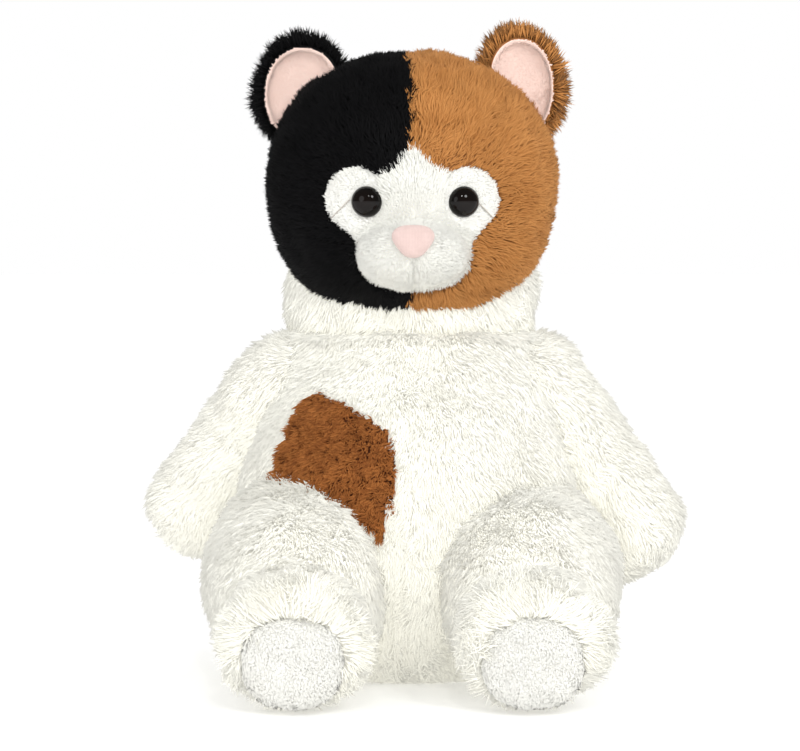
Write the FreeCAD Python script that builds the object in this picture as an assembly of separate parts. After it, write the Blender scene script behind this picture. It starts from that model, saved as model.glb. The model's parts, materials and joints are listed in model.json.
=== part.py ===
# Sitting plush cat: sewn skins, stuffing, safety eyes, ears, limbs and tail.
# Millimetres. +Z is up, the cat faces -Y, its own left is +X.
# The origin is the middle of the seat, on the surface the cat sits on.
import FreeCAD, Part
import math
import os

os.makedirs("parts", exist_ok=True)

# overall sizes of the body
body_height = 178.0
belly_width = 188.0
belly_depth = 158.0
seat_round = 0.30
seat_pinch = 0.56
chest_taper = 0.36
top_round = 0.90
belly_forward = 5.0

# sewn fabric and the room between pieces
fabric = 3.0
seam_gap = 0.2
joint_gap = 1.2
side_gap = 0.8
least_gap = 0.3
turn_gap = 0.6

# neck and head
neck_centre_y = 8.0
neck_rise = 22.0
neck_half_width = 64.0
neck_radius = 44.0
head_half_width = 71.0
head_half_depth = 60.0
head_half_height = 63.0
head_forward = 6.0
head_rise = 80.0
face_back = 12.0

# white face
muzzle_half_width = 31.0
muzzle_half_height = 21.0
muzzle_half_depth = 25.0
muzzle_drop = 36.0
muzzle_out = 49.0
blaze_tip_up = 19.0
blaze_half_width = 23.0
eye_patch_radius = 17.0
eye_patch_x = 29.0
eye_patch_drop = 9.5
eye_x = 24.5
eye_drop = 9.5
eye_diameter = 16.0
eye_bulge = 6.5
shank_radius = 2.5
shank_length = 14.0
washer_radius = 7.5
washer_thick = 2.0
washer_depth = 0.5
washer_clear = 0.14
nose_half_width = 11.0
nose_lobe = 0.13
nose_depth = 6.0
nose_up = 6.0
thread_radius = 0.7

# ears
ear_angle = 47.5
ear_tilt = 7.0
ear_half_width = 26.0
ear_reach = 24.0
ear_half_depth = 13.0
ear_wall = 3.0
ear_lining = 1.6
ear_root_radius = 5.0
ear_root_half = 18.0

# arms
shoulder_inset = 30.0
shoulder_y = 5.0
shoulder_drop = 28.0
arm_radius = 27.0
paw_radius = 27.0
paw_tuck = 0.5
arm_length = 86.0
arm_right_lean = (-46.0, 33.0, -60.0)
arm_left_lean = (51.0, -3.0, -73.0)
arm_swing_turn = 45.0
arm_back_range = -5.0
arm_forward_range = 30.0

# legs
hip_x = 58.0
hip_y = -35.0
thigh_off_floor = 0.6
thigh_radius = 46.0
foot_radius = 34.0
foot_y = -124.0
foot_off_floor = 0.5
sole_flat = 8.0
sole_radius = 25.0
leg_down_range = -5.0
leg_up_range = 20.0

# tail, pellet bag and label
tail_inset = 9.0
tail_z = 24.0
tail_root_radius = 15.0
tail_tip_radius = 13.0
tail_length = 78.0
tail_swing_range = 25.0
bag_half_width = 36.0
bag_half_depth = 22.0
bag_half_height = 15.0
label_width = 20.0
label_height = 28.0
label_thick = 0.6

# rust patch on the belly, as parts of the body height and half width
patch_top = 0.84
patch_bottom = 0.44
patch_inner = 0.11
patch_outer = 0.76

right = -1.0
left = 1.0
far = 400.0

shoulder_x = belly_width / 2.0 - shoulder_inset
shoulder_z = body_height - shoulder_drop
hip_z = thigh_radius + thigh_off_floor
foot_z = foot_radius + foot_off_floor
sole_front = foot_y - foot_radius + sole_flat
tail_y = belly_depth / 2.0 - tail_inset
paw_end_radius = paw_radius - paw_tuck
head_z = body_height + head_rise
head_y = -head_forward
neck_z = body_height + neck_rise


def vec(x, y, z):
    return FreeCAD.Vector(x, y, z)


def save(shape, name):
    shape.exportStep("parts/" + name + ".step")


def ellipsoid(centre, half_x, half_y, half_z):
    ball = Part.makeSphere(half_z)
    stretch = FreeCAD.Matrix()
    stretch.scale(half_x / half_z, half_y / half_z, 1.0)
    shape = ball.transformGeometry(stretch)
    shape.translate(centre)
    return shape


def box_between(low, high):
    size = high - low
    return Part.makeBox(size.x, size.y, size.z, low)


def width_at(part_way):
    """Body width at a part of its height, 1.0 at the widest."""
    width = 1.0
    if part_way < seat_round:
        below = 1.0 - part_way / seat_round
        width = math.sqrt(1.0 - seat_pinch * below * below)
    if part_way > seat_round:
        above = (part_way - seat_round) / (1.0 - seat_round)
        width = 1.0 - chest_taper * above ** 1.6
    if part_way > top_round:
        near_top = (part_way - top_round) / (1.0 - top_round)
        width = width * (1.0 - 0.05 * near_top * near_top)
    return width


def level_oval(centre, half_x, half_y):
    """A level oval, whichever way it is longer."""
    oval = Part.Ellipse(centre, max(half_x, half_y), min(half_x, half_y)).toShape()
    if half_y > half_x:
        oval.rotate(centre, vec(0, 0, 1), 90)
    return Part.Wire([oval])


def body_loft(inset):
    """The body's egg shape, drawn in by inset on every side."""
    rings = []
    steps = 12
    for step in range(steps + 1):
        part_way = (step / steps) ** 1.3
        height = inset + part_way * (body_height - 2.0 * inset)
        half_width = belly_width / 2.0 * width_at(part_way) - inset
        half_depth = belly_depth / 2.0 * width_at(part_way) - inset
        forward = -belly_forward * math.sin(math.pi * part_way)
        rings.append(level_oval(vec(0, forward, height), half_width, half_depth))
    return Part.makeLoft(rings, True, False)


def turned(shape, centre, axis, angle):
    copy = shape.copy()
    copy.rotate(centre, axis, angle)
    return copy


def tapered_limb(start, lean, length, root_radius, tip_radius):
    """A round-ended limb from start along lean, as one turned solid."""
    slope = (root_radius - tip_radius) / length
    across = math.sqrt(1.0 - slope * slope)
    root_edge = vec(root_radius * across, 0, root_radius * slope)
    tip_edge = vec(tip_radius * across, 0, length + tip_radius * slope)
    root_mid_angle = (math.asin(slope) - math.pi / 2.0) / 2.0
    tip_mid_angle = (math.asin(slope) + math.pi / 2.0) / 2.0
    root_mid = vec(
        root_radius * math.cos(root_mid_angle),
        0,
        root_radius * math.sin(root_mid_angle),
    )
    tip_mid = vec(
        tip_radius * math.cos(tip_mid_angle),
        0,
        length + tip_radius * math.sin(tip_mid_angle),
    )
    root_pole = vec(0, 0, -root_radius)
    tip_pole = vec(0, 0, length + tip_radius)
    edges = [
        Part.Arc(root_pole, root_mid, root_edge).toShape(),
        Part.makeLine(root_edge, tip_edge),
        Part.Arc(tip_edge, tip_mid, tip_pole).toShape(),
        Part.makeLine(tip_pole, root_pole),
    ]
    outline = Part.Face(Part.Wire(edges))
    limb = outline.revolve(vec(0, 0, 0), vec(0, 0, 1), 360)
    limb.Placement = FreeCAD.Placement(
        start, FreeCAD.Rotation(vec(0, 0, 1), lean)
    )
    return limb


def taper(root_radius, tip_radius, length, start, lean):
    if abs(root_radius - tip_radius) < 0.01:
        return Part.makeCylinder(root_radius, length, start, lean)
    return Part.makeCone(root_radius, tip_radius, length, start, lean)


def side_room(radius, length, root_radius, tip_radius):
    """Room round a limb's straight side, which bulges out on a steep taper."""
    slope = (root_radius - tip_radius) / length
    bulge = radius / math.sqrt(1.0 - slope * slope)
    return max(radius + side_gap, bulge + least_gap)


def swept_room(start, lean, length, root_radius, tip_radius, axis, low, high):
    """The room a limb needs as it turns about its root."""
    room = [Part.makeSphere(root_radius + joint_gap, start)]
    steps = max(1, int(math.ceil((high - low) / 10.0)))
    for step in range(steps + 1):
        angle = low + (high - low) * step / steps
        cone = taper(
            side_room(root_radius, length, root_radius, tip_radius),
            side_room(tip_radius, length, root_radius, tip_radius),
            length,
            start,
            lean,
        )
        along = FreeCAD.Vector(lean)
        along.normalize()
        end = Part.makeSphere(tip_radius + joint_gap, start + along * length)
        room.append(turned(cone, start, axis, angle))
        room.append(turned(end, start, axis, angle))
    return room


def shoulder(side):
    return vec(side * shoulder_x, shoulder_y, shoulder_z)


def arm_lean(side):
    """The way an arm hangs, moved off the thigh where the two would meet."""
    lean = arm_left_lean if side > 0 else arm_right_lean
    lean = vec(lean[0], lean[1], lean[2])
    to_hip = hip(side) - shoulder(side)
    for settle in range(12):
        lean.normalize()
        along = min(max(to_hip.dot(lean), 0.5 * arm_length), arm_length)
        thick = arm_radius + (paw_end_radius - arm_radius) * along / arm_length
        off = lean * along - to_hip
        short = thigh_radius + thick + joint_gap - off.Length
        if short > 0:
            off.normalize()
            lean = lean * along + off * short
    return lean


def arm_swing_axis(side):
    """Turned part way outward, so the paw clears the thigh as it comes forward."""
    turn = math.radians(arm_swing_turn)
    return vec(-math.cos(turn), -side * math.sin(turn), 0)


def hip(side):
    return vec(side * hip_x, hip_y, hip_z)


def leg_lean(side):
    return vec(0, foot_y - hip_y, foot_z - hip_z)


def leg_length():
    return leg_lean(left).Length


def tail_root():
    return vec(0, tail_y, tail_z)


def tail_lean():
    return vec(0.26, 0.96, -0.09)


def limb_rooms():
    """Everything the arms, legs and tail need cut from the body."""
    rooms = []
    lift_axis = vec(-1, 0, 0)
    for side in (right, left):
        rooms += swept_room(
            shoulder(side), arm_lean(side), arm_length, arm_radius, paw_radius,
            arm_swing_axis(side), arm_back_range, arm_forward_range,
        )
        rooms += swept_room(
            hip(side), leg_lean(side), leg_length(), thigh_radius, foot_radius,
            lift_axis, leg_down_range, leg_up_range,
        )
    rooms += swept_room(
        tail_root(), tail_lean(), tail_length, tail_root_radius, tail_tip_radius,
        vec(0, 0, 1), -tail_swing_range, tail_swing_range,
    )
    return rooms


def cut_each(shape, tools):
    for tool in tools:
        shape = shape.cut(tool)
    return shape


def patch_outline():
    """The rust patch seen from the front, as a prism through the belly front."""
    half = belly_width / 2.0
    top = vec(-half * 0.53, 0, body_height * patch_top)
    inner_top = vec(-half * patch_inner, 0, body_height * 0.725)
    inner_low = vec(-half * patch_inner, 0, body_height * 0.60)
    low = vec(-half * 0.16, 0, body_height * patch_bottom)
    thigh = vec(-half * 0.42, 0, body_height * 0.53)
    outer = vec(-half * patch_outer, 0, body_height * 0.585)
    side_edge = vec(-half * 0.66, 0, body_height * 0.76)
    wire = Part.makePolygon([top, inner_top, inner_low, low, thigh, outer, side_edge, top])
    return Part.Face(wire).extrude(vec(0, -far, 0))


def body_pieces():
    rooms = limb_rooms()
    inside = body_loft(fabric)
    bag = ellipsoid(
        vec(0, 34, fabric + bag_half_height + 4.0),
        bag_half_width, bag_half_depth, bag_half_height,
    )
    skin = cut_each(body_loft(0.0).cut(inside), rooms)
    seam_y = neck_centre_y
    front_room = box_between(vec(-far, -far, -far), vec(far, seam_y - seam_gap, far))
    back_room = box_between(vec(-far, seam_y, -far), vec(far, far, far))
    front = skin.common(front_room)
    patch = front.common(patch_outline())
    front = front.cut(patch_outline())
    save(front, "body_front_panel")
    save(skin.common(back_room), "body_back_panel")
    save(patch, "belly_patch")
    save(cut_each(inside, rooms).cut(bag), "body_stuffing")
    save(bag, "seat_pellet_bag")


def care_label():
    low = vec(-belly_width * 0.26, 0, 40.0)
    high = vec(low.x + label_thick, belly_depth / 2.0 + label_width * 0.72, 40.0 + label_height)
    label = box_between(low, high).cut(body_loft(0.0))
    save(label, "care_label")


def neck_pieces():
    centre = vec(0, neck_centre_y, neck_z)
    whole = ellipsoid(centre, neck_half_width, neck_radius, neck_radius)
    inner = ellipsoid(
        centre, neck_half_width - fabric, neck_radius - fabric, neck_radius - fabric
    )
    above = box_between(vec(-far, -far, body_height + turn_gap), vec(far, far, far))
    save(whole.cut(inner).common(above), "neck_wrap")
    save(inner.common(above), "neck_stuffing")


def head_ellipsoid(inset):
    return ellipsoid(
        vec(0, head_y, head_z),
        head_half_width - inset, head_half_depth - inset, head_half_height - inset,
    )


def head_front_y(x, z):
    """The head's front surface at x and z."""
    across = x / head_half_width
    up = (z - head_z) / head_half_height
    return head_y - head_half_depth * math.sqrt(1.0 - across * across - up * up)


def head_normal(x, y, z):
    normal = vec(
        x / head_half_width ** 2,
        (y - head_y) / head_half_depth ** 2,
        (z - head_z) / head_half_height ** 2,
    )
    normal.normalize()
    return normal


def muzzle_centre():
    return vec(0, head_y - muzzle_out, head_z - muzzle_drop)


def muzzle_bump(inset):
    return ellipsoid(
        muzzle_centre(),
        muzzle_half_width - inset, muzzle_half_depth - inset, muzzle_half_height - inset,
    )


def white_face_prism(grow):
    """Blaze and muzzle outline, carried through the front of the head."""
    low = head_z - muzzle_drop
    oval = Part.Ellipse(
        vec(0, 0, 0), muzzle_half_width + 1.0 + grow, muzzle_half_height + 1.0 + grow
    )
    oval_face = Part.Face(Part.Wire([oval.toShape()]))
    oval_face.rotate(vec(0, 0, 0), vec(1, 0, 0), 90)
    oval_face.translate(vec(0, -10, low))
    half = blaze_half_width + grow
    blaze_wire = Part.makePolygon([
        vec(0, -10, head_z + blaze_tip_up + grow),
        vec(half * 0.62, -10, head_z),
        vec(half, -10, low + muzzle_half_height * 0.6),
        vec(0, -10, low),
        vec(-half, -10, low + muzzle_half_height * 0.6),
        vec(-half * 0.62, -10, head_z),
        vec(0, -10, head_z + blaze_tip_up + grow),
    ])
    oval_prism = oval_face.extrude(vec(0, -far, 0))
    blaze_prism = Part.Face(blaze_wire).extrude(vec(0, -far, 0))
    return oval_prism.fuse(blaze_prism)


def eye_patch_prism(side, grow):
    centre = vec(side * eye_patch_x, -10, head_z - eye_patch_drop)
    return Part.makeCylinder(eye_patch_radius + grow, far, centre, vec(0, -1, 0))


def eye_place(side):
    x = side * eye_x
    z = head_z - eye_drop
    y = head_front_y(x, z)
    return vec(x, y, z), head_normal(x, y, z)


def eye_button(side):
    """A domed safety eye with its shank, standing on the face."""
    place, out = eye_place(side)
    radius = eye_diameter / 2.0
    dome = ellipsoid(vec(0, 0, 0), radius, radius, eye_bulge)
    dome = dome.common(box_between(vec(-far, -far, 0), vec(far, far, far)))
    rim = Part.makeCylinder(radius, 0.8, vec(0, 0, 0))
    dome.translate(vec(0, 0, 0.8))
    shank = Part.makeCylinder(shank_radius, shank_length, vec(0, 0, -shank_length))
    eye = dome.fuse([rim, shank]).removeSplitter()
    eye.translate(vec(0, 0, seam_gap))
    eye.Placement = FreeCAD.Placement(
        place, FreeCAD.Rotation(vec(0, 0, 1), out)
    ).multiply(eye.Placement)
    return eye


def shank_hole(side):
    place, out = eye_place(side)
    start = place + out * 2.0
    return Part.makeCylinder(shank_radius + 0.1, shank_length + 2.5, start, out * -1.0)


def rim_drop(side):
    """How far the face curves away under a washer's rim, where it does so least."""
    place, out = eye_place(side)
    level = vec(out.y, -out.x, 0)
    level.normalize()
    steep = 1.0 / vec(
        place.x / head_half_width ** 2,
        (place.y - head_y) / head_half_depth ** 2,
        (place.z - head_z) / head_half_height ** 2,
    ).Length
    drops = []
    for way in (level, out.cross(level)):
        bend = steep * (
            (way.x / head_half_width) ** 2
            + (way.y / head_half_depth) ** 2
            + (way.z / head_half_height) ** 2
        )
        drops.append(0.5 * bend * washer_radius ** 2)
    return min(drops)


def washer(side, room):
    place, out = eye_place(side)
    below = fabric + max(washer_depth, rim_drop(side) + washer_clear)
    start = place - out * (below - room)
    disc = Part.makeCylinder(
        washer_radius + room, washer_thick + 2.0 * room, start, out * -1.0
    )
    if room > 0:
        return disc
    return disc.cut(shank_hole(side))


def ear_frame(side):
    """Where an ear folds: a point on the head, the fold line and the way out."""
    angle = math.radians(ear_angle)
    level = math.sqrt(1.0 - (head_forward / head_half_depth) ** 2)
    place = vec(
        side * head_half_width * math.sin(angle) * level,
        0,
        head_z + head_half_height * math.cos(angle) * level,
    )
    fold = vec(
        side * -head_half_width * math.cos(angle),
        0,
        head_half_height * math.sin(angle),
    )
    fold.normalize()
    lean = math.radians(ear_tilt)
    fold = vec(
        fold.x * math.cos(lean) + side * fold.z * math.sin(lean),
        0,
        fold.z * math.cos(lean) - side * fold.x * math.sin(lean),
    )
    out = vec(side * fold.z, 0, -side * fold.x)
    return place, fold, out


def into_ear(shape, side):
    """From the ear's own frame (x along the fold, y back, z out) to the head."""
    place, fold, out = ear_frame(side)
    back = out.cross(fold)
    move = FreeCAD.Matrix(
        fold.x, back.x, out.x, place.x,
        fold.y, back.y, out.y, place.y,
        fold.z, back.z, out.z, place.z,
        0, 0, 0, 1,
    )
    copy = shape.copy()
    copy.transformShape(move)
    return copy


def ear_shapes(side):
    front = side * 1.0
    lift = 3.5
    cup = ellipsoid(
        vec(0, front * (ear_half_depth - 4.0), 3.0),
        ear_half_width, ear_half_depth, ear_reach,
    )
    hollow = ellipsoid(
        vec(0, front * (ear_half_depth - 4.0 + ear_wall), 3.0),
        ear_half_width - ear_wall, ear_half_depth - 0.5, ear_reach - ear_wall,
    )
    lining_hollow = ellipsoid(
        vec(0, front * (ear_half_depth - 4.0 + ear_wall + ear_lining), 3.0),
        ear_half_width - ear_wall - ear_lining,
        ear_half_depth - 0.5,
        ear_reach - ear_wall - ear_lining,
    )
    edge = front * (ear_half_depth - 3.0)
    if front > 0:
        kept = box_between(vec(-far, -far, lift), vec(far, edge, far))
    else:
        kept = box_between(vec(-far, edge, lift), vec(far, far, far))
    root = Part.makeCylinder(
        ear_root_radius, 2.0 * ear_root_half, vec(-ear_root_half, 0, 0), vec(1, 0, 0)
    )
    outer = cup.cut(hollow).common(kept)
    outer = outer.fuse(root.cut(hollow))
    inner = cup.common(hollow).cut(lining_hollow).common(kept).cut(root)
    return into_ear(outer, side), into_ear(inner, side)


def ear_groove(side):
    groove = Part.makeCylinder(
        ear_root_radius + turn_gap,
        2.0 * (ear_root_half + turn_gap),
        vec(-ear_root_half - turn_gap, 0, 0),
        vec(1, 0, 0),
    )
    return into_ear(groove, side)


def nose_shape():
    """A padded rounded triangle, wide at the top, resting on the muzzle."""
    points = []
    count = 24
    for step in range(count):
        turn = 2.0 * math.pi * step / count
        reach = nose_half_width * (0.86 - nose_lobe * math.sin(3.0 * turn))
        points.append(vec(reach * math.cos(turn), 0, reach * math.sin(turn) * 0.86))
    outline = Part.BSplineCurve()
    outline.interpolate(points, PeriodicFlag=True)
    face = Part.Face(Part.Wire([outline.toShape()]))
    centre = muzzle_centre()
    front_y = centre.y - muzzle_half_depth
    nose_z = centre.z + nose_up
    block = face.extrude(vec(0, -3.0 * nose_depth, 0))
    block.translate(vec(0, front_y + 2.0 * nose_depth, nose_z))
    dome = ellipsoid(
        vec(0, front_y + nose_depth * 0.6, nose_z),
        nose_half_width * 1.35, nose_depth * 1.5, nose_half_width * 1.2,
    )
    return block.common(dome).cut(muzzle_bump(0.0)).cut(head_ellipsoid(0.0))


def mouth_thread():
    """The stitched crease below the nose, a thread laid along the muzzle."""
    centre = muzzle_centre()
    points = []
    for angle in (-12.0, -40.0, -68.0):
        turn = math.radians(angle)
        points.append(vec(
            0,
            centre.y - muzzle_half_depth * math.cos(turn),
            centre.z + muzzle_half_height * math.sin(turn),
        ))
    path = Part.Wire([Part.Arc(points[0], points[1], points[2]).toShape()])
    along = path.Edges[0].tangentAt(path.Edges[0].FirstParameter)
    ring = Part.Wire([Part.makeCircle(thread_radius, points[0], along)])
    return path.makePipeShell([ring], True, False)


def head_pieces():
    neck_room = ellipsoid(
        vec(0, neck_centre_y, neck_z),
        neck_half_width + turn_gap, neck_radius + turn_gap, neck_radius + turn_gap,
    )
    grooves = [ear_groove(right), ear_groove(left)]
    whole = cut_each(head_ellipsoid(0.0), [neck_room] + grooves)
    inside = head_ellipsoid(fabric)
    skin = whole.cut(inside)
    thread = mouth_thread()
    holes = [shank_hole(right), shank_hole(left)]

    muzzle = head_ellipsoid(0.0).fuse(muzzle_bump(0.0)).cut(inside)
    muzzle = muzzle.common(white_face_prism(0.0)).cut(neck_room).cut(thread)
    muzzle = cut_each(muzzle, holes)

    front_room = box_between(vec(-far, -far, -far), vec(far, face_back - seam_gap, far))
    back_room = box_between(vec(-far, face_back, -far), vec(far, far, far))
    front = skin.common(front_room).cut(white_face_prism(seam_gap))
    front = front.cut(muzzle_bump(-seam_gap))
    for side, name in ((right, "right"), (left, "left")):
        patch = front.common(eye_patch_prism(side, 0.0))
        save(cut_each(patch, holes), "eye_patch_" + name)
        front = front.cut(eye_patch_prism(side, seam_gap))
    front = cut_each(front, holes)
    black_room = box_between(vec(-far, -far, -far), vec(-seam_gap / 2.0, far, far))
    tan_room = box_between(vec(seam_gap / 2.0, -far, -far), vec(far, far, far))
    save(front.common(black_room), "head_panel_black")
    save(front.common(tan_room), "head_panel_tan")
    save(skin.common(back_room), "head_panel_back")
    save(muzzle, "muzzle_panel")

    stuffing = whole.common(inside)
    washers = []
    for side, name in ((right, "right"), (left, "left")):
        washers.append(washer(side, 0.0))
        stuffing = stuffing.cut(shank_hole(side)).cut(washer(side, 0.1))
        save(eye_button(side), "eye_" + name)
    save(stuffing, "head_stuffing")
    save(Part.makeCompound(washers), "eye_washers")
    save(nose_shape(), "nose")
    save(thread, "mouth_stitch")


def ear_pieces():
    for side, name in ((right, "right"), (left, "left")):
        outer, inner = ear_shapes(side)
        save(outer, "ear_outer_" + name)
        save(inner, "ear_lining_" + name)


def open_root(start, lean, radius):
    """Room behind a limb's root, where its skin is left open for the seam."""
    block = Part.makeBox(4.0 * radius, 4.0 * radius, 2.0 * radius)
    block.translate(vec(-2.0 * radius, -2.0 * radius, -2.0 * radius - 0.35 * radius))
    block.Placement = FreeCAD.Placement(
        start, FreeCAD.Rotation(vec(0, 0, 1), lean)
    ).multiply(block.Placement)
    return block


def arm_pieces():
    for side, name in ((right, "right"), (left, "left")):
        start = shoulder(side)
        lean = arm_lean(side)
        outer = tapered_limb(start, lean, arm_length, arm_radius, paw_end_radius)
        inner = tapered_limb(
            start, lean, arm_length, arm_radius - fabric, paw_end_radius - fabric
        )
        save(outer.cut(inner).cut(open_root(start, lean, arm_radius)), "arm_skin_" + name)
        save(inner, "arm_stuffing_" + name)


def leg_pieces():
    sole_back = sole_front + fabric
    front_end = box_between(vec(-far, -far, -far), vec(far, sole_back, far))
    for side, name in ((right, "right"), (left, "left")):
        start = hip(side)
        lean = leg_lean(side)
        outer = tapered_limb(start, lean, leg_length(), thigh_radius, foot_radius)
        inner = tapered_limb(
            start, lean, leg_length(), thigh_radius - fabric, foot_radius - fabric
        )
        skin = outer.cut(inner).cut(open_root(start, lean, thigh_radius)).cut(front_end)
        sole_centre = vec(side * hip_x, sole_front, foot_z)
        sole = Part.makeCylinder(sole_radius, fabric, sole_centre, vec(0, 1, 0))
        sole = sole.makeFillet(fabric * 0.4, [sole.Edges[0]])
        save(skin, "leg_skin_" + name)
        save(inner.cut(front_end), "leg_stuffing_" + name)
        save(sole, "sole_pad_" + name)


def tail_pieces():
    start = tail_root()
    lean = tail_lean()
    outer = tapered_limb(start, lean, tail_length, tail_root_radius, tail_tip_radius)
    inner = tapered_limb(
        start, lean, tail_length, tail_root_radius - fabric, tail_tip_radius - fabric
    )
    save(outer.cut(inner).cut(open_root(start, lean, tail_root_radius)), "tail_skin")
    save(inner, "tail_stuffing")


body_pieces()
care_label()
neck_pieces()
head_pieces()
ear_pieces()
arm_pieces()
leg_pieces()
tail_pieces()
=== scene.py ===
import json
import math
import bpy
import numpy as np
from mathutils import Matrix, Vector


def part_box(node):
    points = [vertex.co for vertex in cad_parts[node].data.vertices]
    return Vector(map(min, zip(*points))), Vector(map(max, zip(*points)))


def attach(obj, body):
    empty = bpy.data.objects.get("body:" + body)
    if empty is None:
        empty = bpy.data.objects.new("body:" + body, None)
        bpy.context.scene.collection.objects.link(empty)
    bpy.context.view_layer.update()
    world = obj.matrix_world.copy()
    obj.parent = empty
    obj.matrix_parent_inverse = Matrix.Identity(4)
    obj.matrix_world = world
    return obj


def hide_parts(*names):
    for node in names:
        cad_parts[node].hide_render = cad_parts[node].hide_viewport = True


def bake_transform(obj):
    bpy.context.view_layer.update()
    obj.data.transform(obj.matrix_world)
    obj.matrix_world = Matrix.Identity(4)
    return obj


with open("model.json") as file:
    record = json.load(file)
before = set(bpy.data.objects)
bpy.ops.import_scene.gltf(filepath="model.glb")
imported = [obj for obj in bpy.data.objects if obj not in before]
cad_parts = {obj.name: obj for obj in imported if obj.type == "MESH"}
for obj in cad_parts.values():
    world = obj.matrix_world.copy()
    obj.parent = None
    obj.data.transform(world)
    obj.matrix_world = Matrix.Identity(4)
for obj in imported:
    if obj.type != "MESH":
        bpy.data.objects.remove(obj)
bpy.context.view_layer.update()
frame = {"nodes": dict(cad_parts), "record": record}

mm = 0.001
right, left = -1.0, 1.0
joints = {j["name"]: j for j in frame["record"]["behaviour"]["joints"]}


def pivot(name):
    return np.array(joints[name]["pos_m"], float)


def box(node):
    low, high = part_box(node)
    return np.array(low, float), np.array(high, float)


def unit(v):
    return v / np.maximum(np.linalg.norm(v, axis=-1, keepdims=True), 1e-12)


def smoothStep(low, high, x):
    t = np.clip((x - low) / (high - low), 0, 1)
    return t * t * (3 - 2 * t)


# random numbers on a lattice of the given size, joined with 3t^2 - 2t^3
def softNoise(points, size, seed):
    table = np.random.default_rng(seed).random((24, 24, 24)) * 2 - 1
    spot = points / size + 7.3
    cell = np.floor(spot).astype(int)
    part = spot - cell
    part = part * part * (3 - 2 * part)
    total = np.zeros(points.shape[:-1])
    for corner in range(8):
        step = np.array([corner & 1, corner >> 1 & 1, corner >> 2 & 1])
        at = (cell + step) % 24
        share = np.prod(np.where(step == 1, part, 1 - part), axis=-1)
        total += share * table[at[..., 0], at[..., 1], at[..., 2]]
    return total


def softVectors(points, size, seed):
    return np.stack([softNoise(points, size, seed + k) for k in range(3)], axis=-1)


# gives the piece its cloths, and picks one for each face from the face's middle
def paintFaces(made, materials, choose):
    for material in materials:
        made.data.materials.append(material)
    centres = np.zeros(len(made.data.polygons) * 3)
    made.data.polygons.foreach_get("center", centres)
    index = choose(centres.reshape(-1, 3)).astype(np.int32)
    made.data.polygons.foreach_set("material_index", index)


def addMesh(name, points, faces):
    mesh = bpy.data.meshes.new(name)
    mesh.from_pydata(points.tolist(), [], faces)
    mesh.update()
    made = bpy.data.objects.new(name, mesh)
    bpy.context.scene.collection.objects.link(made)
    mesh.polygons.foreach_set("use_smooth", np.ones(len(mesh.polygons), bool))
    return made


# rings[r, c] is point c of ring r; the first and last ring are each a single pole
def addRings(name, rings):
    rows, cols = rings.shape[:2]
    body = rings[1:-1].reshape(-1, 3)
    points = np.vstack([rings[0, :1], body, rings[-1, :1]])
    row, col = np.meshgrid(np.arange(rows - 3), np.arange(cols), indexing="ij")
    nextCol = (col + 1) % cols
    quads = np.stack(
        [1 + row * cols + col, 1 + row * cols + nextCol,
         1 + (row + 1) * cols + nextCol, 1 + (row + 1) * cols + col], axis=-1
    ).reshape(-1, 4)
    c = np.arange(cols)
    first = np.stack([np.zeros(cols, int), 1 + (c + 1) % cols, 1 + c], axis=-1)
    base, end = 1 + (rows - 3) * cols, len(points) - 1
    last = np.stack([np.full(cols, end), base + c, base + (c + 1) % cols], axis=-1)
    made = addMesh(name, points, quads.tolist() + first.tolist() + last.tolist())
    if volumeOf(made) < 0:
        made.data.flip_normals()
    return made


def triangles(mesh):
    mesh.calc_loop_triangles()
    corners = np.zeros(len(mesh.loop_triangles) * 3, np.int32)
    mesh.loop_triangles.foreach_get("vertices", corners)
    return corners.reshape(-1, 3)


def meshPoints(mesh):
    points = np.zeros(len(mesh.vertices) * 3)
    mesh.vertices.foreach_get("co", points)
    return points.reshape(-1, 3)


def meshNormals(mesh):
    normals = np.zeros(len(mesh.vertices) * 3, np.float32)
    mesh.vertex_normals.foreach_get("vector", normals)
    return normals.reshape(-1, 3).astype(float)


def volumeOf(made):
    points, tris = meshPoints(made.data), triangles(made.data)
    a, b, c = (points[tris[:, k]] for k in range(3))
    return float(np.sum(a * np.cross(b, c)) / 6)


# outward normals of a ring grid, from the cross product of its two directions
def ringNormals(rings):
    around = np.roll(rings, -1, axis=1) - np.roll(rings, 1, axis=1)
    along = np.gradient(rings, axis=0)
    normals = np.cross(around, along)
    middle = rings.mean(axis=(0, 1))
    normals = normals * np.sign(np.sum(normals * (rings - middle)))
    for pole, beside in ((0, 1), (-1, -2)):
        normals[pole] = unit(rings[pole] - rings[beside].mean(axis=0))
    return unit(normals)


# each point moves along its normal by the sum of two sizes of soft noise
def lumpy(rings, coarse, fine, seed):
    push = coarse[1] * softNoise(rings, coarse[0], seed)
    push = push + fine[1] * softNoise(rings, fine[0], seed + 1)
    push[0], push[-1] = push[0].mean(), push[-1].mean()
    return rings + ringNormals(rings) * push[..., None]


# how far along a limb each ring stands and how wide it is: round cap, straight taper, round cap
def limbProfile(length, rootRadius, tipRadius, capRows, bodyRows):
    turn = np.linspace(0, math.pi / 2, capRows)
    rootAlong, rootWide = -rootRadius * np.cos(turn), rootRadius * np.sin(turn)
    along = np.linspace(0, length, bodyRows + 2)[1:-1]
    wide = rootRadius + (tipRadius - rootRadius) * along / length
    tipAlong = length + tipRadius * np.sin(turn)
    tipWide = tipRadius * np.cos(turn)
    return (np.concatenate([rootAlong, along, tipAlong]),
            np.concatenate([rootWide, wide, tipWide]))


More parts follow.
